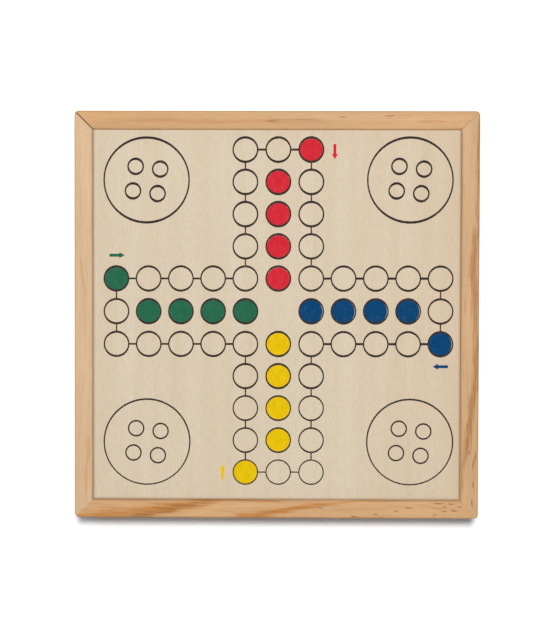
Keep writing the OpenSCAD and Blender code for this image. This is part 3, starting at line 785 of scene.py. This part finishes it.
# Pine rails of the lid: the same strips, with the board panel let in 1.8 mm below their faces.
# The mitre at the back left stands a hair open, the one at the back right only at its inner end.
lid_gaps = {
    "front": (snug, snug),
    "back": ((0.05 * mm, 0.32 * mm), (0.3 * mm, 0.3 * mm)),
    "left": ((0.3 * mm, 0.3 * mm), snug),
    "right": (snug, (0.05 * mm, 0.32 * mm)),
}
lid_grain = {
    "front": dict(heart=(-172, 20), lean=(0.2, 1.6), ring=4.2, pale=(217, 172, 124), late=(184, 116, 52),
                  strength=0.35, flecks=0.1, seed=21, bands=((200, 130, 56), (140, 84, 40)), streaks=[
                      ((-153, -149.4), (-40, -133.2), (7.5, 3.4), 0.4, 0.8, 0.3),
                      ((-106, -145.6), (-38, -133.4), (5.6, 4.2), 0.5, 0.4, 0.95),
                      ((-60, -133.6), (10, -132.9), (2.0, 0.9), 0.0, 0.75, 0.4),
                      ((-34, -147.4), (52, -133.4), (3.8, 1.4), 0.6, 0.9, 0.2),
                      ((40, -133.8), (96, -133.0), (1.0, 0.7), 0.0, 0.6, 0.0),
                      ((-30, -145.8), (100, -145.4), (0.8, 0.8), 0.0, 0.55, 0.1)],
                  canals=[(31.7, -138.4, 5, -6), (56, -144.6, 5.5, -8), (71.3, -143.1, 3.6, 0),
                          (86.1, -140.6, 2.8, -5), (95.1, -138.3, 5.4, -8), (113.9, -143.3, 3, 0),
                          (113.3, -145.6, 2.2, -10),
                          (121.1, -137.6, 3, 0), (120.6, -140.8, 3.6, 4), (127.8, -140.4, 5, -8),
                          (116.6, -135.1, 8, -2), (125.6, -135.4, 4.4, 0), (131.8, -137.4, 3, -5)]),
    "back": dict(heart=(118, 10), ring=3.4, pale=(214, 168, 117), late=(184, 112, 52), strength=0.3,
                 flecks=0.05, seed=22, streaks=[((-100, 140), (40, 137), (2.2, 1.0), 0.0, 0.35, 0.0),
                                               ((-10, 139.6), (34, 138.2), (1.4, 0.8), 0.4, 0.5, 0.4),
                                               ((100, 137.4), (122, 137.8), (1.1, 0.8), 0.3, 0.5, 0.1),
                                               ((84, 140.6), (98, 140.2), (0.8, 0.6), 0.2, 0.4, 0.1)],
                 canals=[(80.2, 142.4, 7, 3), (47, 141.6, 5, 0), (-4, 138.6, 8, 0)]),
    "left": dict(heart=(-190, 30), ring=3.8, pale=(221, 186, 146), late=(204, 152, 100), strength=0.28,
                 flecks=0.0, seed=23, streaks=[((-141, 42), (-136, 10), (1.6, 0.8), 0.0, 0.35, 0.0),
                                               ((-135.5, -84), (-137, -138), (1.6, 1.2), 0.0, 0.4, 0.0)]),
    "right": dict(heart=(160, 34), lean=(0.1, 0.9), ring=4.6, pale=(213, 172, 126), late=(170, 112, 60),
                  strength=0.35, flecks=0.1, seed=24, bands=((184, 127, 74), (146, 92, 50)), streaks=[
                      ((144.8, 146), (143.4, 50), (1.8, 1.4), 0.0, 0.8, 0.3),
                      ((141.6, 66), (145.0, -28), (3.6, 3.0), -2.4, 0.85, 0.5),
                      ((146.0, -8), (134.6, -112), (3.8, 2.2), 1.2, 0.9, 0.6),
                      ((135.8, -80), (133.4, -134), (2.2, 1.6), 0.0, 0.6, 0.1)],
                  canals=[(142.8, -101, 8, 86), (141.3, -106.8, 8, 82), (141.2, -121.2, 5, 88),
                          (140.4, -134, 3, 84), (138.4, -98.5, 4, 80), (140.5, -134.8, 6, 96),
                          (136.7, -79, 7, 82)]),
}
for side, (length, turn, place) in sides.items():
    rail = mitred_rail("pine_lid_" + side, length, turn, place, False, lid_gaps[side])
    fit_rail(rail, side, 1, [])
    dress(rail, pine("pine_lid_" + side, turn if side in ("left", "right") else 0,
                     mitres=(1.05, 0.28, 0.1), **lid_grain[side]))
    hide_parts("lid_rail_" + side)
    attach(rail, "lid")


# Board panel: one sheet of pale birch plywood, sanded and clear lacquered, its grain from front to
# back, held in the grooves of the lid's rails.
dress(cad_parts["board_panel"], plywood("board_plywood", (224, 207, 183), (218, 200, 171), 1, 0.42))


# Black ink of the board, screen-printed on the panel: the ring track with its links, the lanes, the
# four homes and their places. The squeegee laid it thicker at the top and bottom of each ring, and
# thinner towards the front.
ink_z, ink_t = half_h + panel_face, 0.12 * mm
ring_r, home_r, place_r, home_at = 8.76 * mm, 30.55 * mm, 5.44 * mm, 94.4 * mm
print_at = (Matrix.Translation((1.2 * mm, 2.7 * mm, ink_z)) @ Matrix.Rotation(math.radians(0.1), 4, "Z")
            @ Matrix.Diagonal((1, 0.996, 1, 1)))
first_pitch, pitch = 23.6, 23.15
track = [(k, 1) for k in range(5, 0, -1)] + [(1, k) for k in range(2, 6)] + [(0, 5)]
lane = [(0, k) for k in range(1, 5)]


def field_at(k, quarter):
    """The middle of a field, k pitches out from the middle of the board, turned by quarters."""
    x, y = [0 if n == 0 else math.copysign(first_pitch + (abs(n) - 1) * pitch, n) * mm for n in k]
    for _ in range(quarter % 4):
        x, y = -y, x
    return Vector((x, y, 0))


def raised(height):
    """Gives a flat outline its thickness."""
    bpy.ops.mesh.select_all(action="SELECT")
    bpy.ops.mesh.extrude_region_move(TRANSFORM_OT_translate={"value": (0, 0, height)})


def inked_ring(name, radius, side_width, end_width, sides, lift=0.0):
    """One printed ring, with its line widths at the sides and at the top and bottom; a lift of its
    outer outline makes the top heavier than the bottom."""
    thin, thick = side_width / 2, end_width / 2
    made = start(name, bpy.ops.mesh.primitive_circle_add, vertices=sides, radius=radius)
    bpy.ops.mesh.select_all(action="SELECT")
    bpy.ops.transform.resize(value=(1 - thin / radius, 1 - thick / radius, 1), center_override=(0, 0, 0))
    bpy.ops.mesh.extrude_edges_move()
    wider = ((radius + thin) / (radius - thin), (radius + thick) / (radius - thick), 1)
    bpy.ops.transform.resize(value=wider, center_override=(0, 0, 0))
    bpy.ops.transform.translate(value=(0, lift, 0))
    raised(ink_t)
    faces_out()
    return made


noise.seed_set(3)


def bled(piece, amount, grain):
    """Moves the outline of the ink a little, as it bleeds along the fibres of the veneer."""
    for vertex in piece.data.vertices:
        push = noise.noise_vector(Vector((vertex.co.x, vertex.co.y, 0)) / grain)
        vertex.co.x += push.x * amount
        vertex.co.y += push.y * amount


def joined(name, pieces):
    """Joins pieces into one mesh."""
    bpy.ops.object.select_all(action="DESELECT")
    for piece in pieces:
        piece.select_set(True)
    bpy.context.view_layer.objects.active = pieces[0]
    bpy.ops.object.join()
    made = bpy.context.object
    made.name = made.data.name = name
    return made


def ink(name, shade, through, seed):
    """Matt printing ink on veneer: fine pores run through it along the grain, and it lies thinner in
    places, where the wood tells through."""
    made, tree, shader = finish(name, 0.6, 0.04)
    place = in_millimetres(tree, 90, (0, 0), (0, 0, 31 * seed))
    pores = stretched(tree, place, (0.35, 3.6, 3.6), 3, 0.6)
    cloud = stretched(tree, place, (0.16, 0.3, 0.3), 2)
    tone = product(tree, ranged(tree, pores, 0.3, 0.7, 0.9, 1.09), ranged(tree, cloud, 0.3, 0.7, 0.95, 1.05))
    shade = toned(tree, colour(*shade), tone)
    open_wood = math_of(tree, "ADD", pores, product(tree, cloud, 0.3))
    bare = ranged(tree, open_wood, 0.72, 0.9, 0, through)
    tree.links.new(blend(tree, bare, shade, colour(219, 202, 176)), shader.inputs["Base Color"])
    bumped(tree, shader, pores, 0.2, 0.04)
    return made


rows = [(row_y * mm, inked_ring("ring", ring_r, side * mm, end * mm, 96)) for row_y, side, end in (
    (60, 1.06, 1.74), (-60, 1.0, 1.6), (-100, 0.87, 1.28), (-130, 0.85, 0.96))]
lines = []
for quarter in range(4):
    for k in track + lane:
        place = field_at(k, quarter)
        ring = next(made for row_y, made in rows if place.y > row_y)
        lines.append(laid(ring, "line", Matrix.Translation(place)))
for row_y, ring in rows:
    bpy.data.objects.remove(ring)
for t, wider, home_side, home_end, spot_side, spot_end, lift in ((1, -0.1, 1.06, 1.76, 1.08, 1.84, 0),
                                                                 (-1, 0.25, 1.0, 1.1, 1.02, 1.17, 0.16)):
    home = inked_ring("home", home_r + wider * mm, home_side * mm, home_end * mm, 288, lift * mm)
    spot = inked_ring("spot", place_r, spot_side * mm, spot_end * mm, 64)
    for s in (-1, 1):
        middle = Matrix.Translation((s * home_at, t * home_at, 0))
        lines.append(laid(home, "line", middle))
        for u in (-1, 1):
            for v in (-1, 1):
                lines.append(laid(spot, "line", middle @ Matrix.Rotation(math.radians(-6.3), 4, "Z")
                                  @ Matrix.Translation((u * 8.85 * mm, v * 8.85 * mm, 0))))
    bpy.data.objects.remove(home)
    bpy.data.objects.remove(spot)
for quarter in range(4):
    for i, k in enumerate(track):
        here = field_at(k, quarter)
        there = field_at(track[i + 1], quarter) if i + 1 < len(track) else field_at((-1, 5), quarter)
        along = there - here
        middle = (here + there) / 2
        width = 0.97 * mm
        if abs(along.x) > abs(along.y):
            width = 0.86 * mm if middle.y < -100 * mm else 1.51 * mm + 0.0024 * middle.x
        link = start("line", bpy.ops.mesh.primitive_cube_add, size=1)
        bpy.ops.mesh.select_all(action="SELECT")
        bpy.ops.mesh.subdivide(number_cuts=7)
        done()
        size = (along.length - 2 * ring_r + 0.5 * mm, width, ink_t - 0.006 * mm)
        link.data.transform(
            Matrix.Translation(middle + Vector((0, 0, size[2] / 2)))
            @ Matrix.Rotation(math.atan2(along.y, along.x), 4, "Z") @ Matrix.Diagonal((*size, 1)))
        lines.append(link)
black = joined("black_lines", lines)
bled(black, 0.12 * mm, 0.65 * mm)
black.data.transform(print_at)
smooth(black, 40)
dress(black, ink("ink_black", (52, 43, 40), 0.3, 1))
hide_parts("print_lines")
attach(black, "lid")


# Coloured inks, printed before the black: one colour to an arm, on its start field, its lane and
# its arrow. Red lies a hair too low against the lines, blue a hair too far left.
inks = {
    "red": ((218, 42, 56), 0, (0, -0.5), (0, 1.0)),
    "green": ((38, 106, 78), 1, (0.1, -0.1), (0, 0.4)),
    "yellow": ((237, 198, 0), 2, (0, 0.05), (-0.4, 0.0)),
    "blue": ((0, 68, 116), 3, (-0.35, 0), (-0.6, -0.4)),
}


def inked_disc(name, radius):
    made = start(name, bpy.ops.mesh.primitive_circle_add, vertices=96, radius=radius, fill_type="NGON")
    raised(ink_t / 2)
    faces_out()
    return made


def inked_arrow(name, length, head_l, head_w, shaft_w):
    """An arrow that points along -Y, its head drawn out from the end of its shaft."""
    made = start(name, bpy.ops.mesh.primitive_plane_add, size=1)
    bpy.ops.mesh.select_all(action="SELECT")
    bpy.ops.transform.resize(value=(shaft_w, length - head_l, 1), center_override=(0, 0, 0))
    bpy.ops.transform.translate(value=(0, head_l / 2, 0))
    neck = head_l - length / 2
    pick("EDGE", lambda mid, way: abs(mid.y - neck) < tiny)
    bpy.ops.mesh.extrude_edges_move()
    bpy.ops.transform.resize(value=(head_w / shaft_w, 1, 1), center_override=(0, neck, 0))
    bpy.ops.mesh.extrude_edges_move(TRANSFORM_OT_translate={"value": (0, -head_l, 0)})
    bpy.ops.mesh.merge(type="CENTER")
    raised(ink_t / 2)
    bpy.ops.mesh.select_all(action="SELECT")
    bpy.ops.mesh.remove_doubles(threshold=merge_within / 10)
    faces_out()
    return made


for name, (shade, quarter, slip, ahead) in inks.items():
    disc = inked_disc("disc", 8.36 * mm)
    fields = [laid(disc, "field", Matrix.Translation(field_at(k, quarter))) for k in [(1, 5)] + lane]
    bpy.data.objects.remove(disc)
    arrow = inked_arrow("arrow", 10.9 * mm, 3.8 * mm, 4.3 * mm, 2.1 * mm)
    arrow.data.transform(Matrix.Rotation(math.radians(90 * quarter), 4, "Z") @ Matrix.Translation(
        field_at((1, 5), 0) + Vector((16.8 + ahead[0], -ahead[1], 0)) * mm))
    coloured = joined(name + "_fields", fields + [arrow])
    bled(coloured, 0.07 * mm, 0.9 * mm)
    coloured.data.transform(Matrix.Translation((slip[0] * mm, slip[1] * mm, 0)) @ print_at)
    smooth(coloured, 40)
    dress(coloured, ink("ink_" + name, shade, 0.08, quarter + 2))
    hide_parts("print_" + name)
    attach(coloured, "lid")
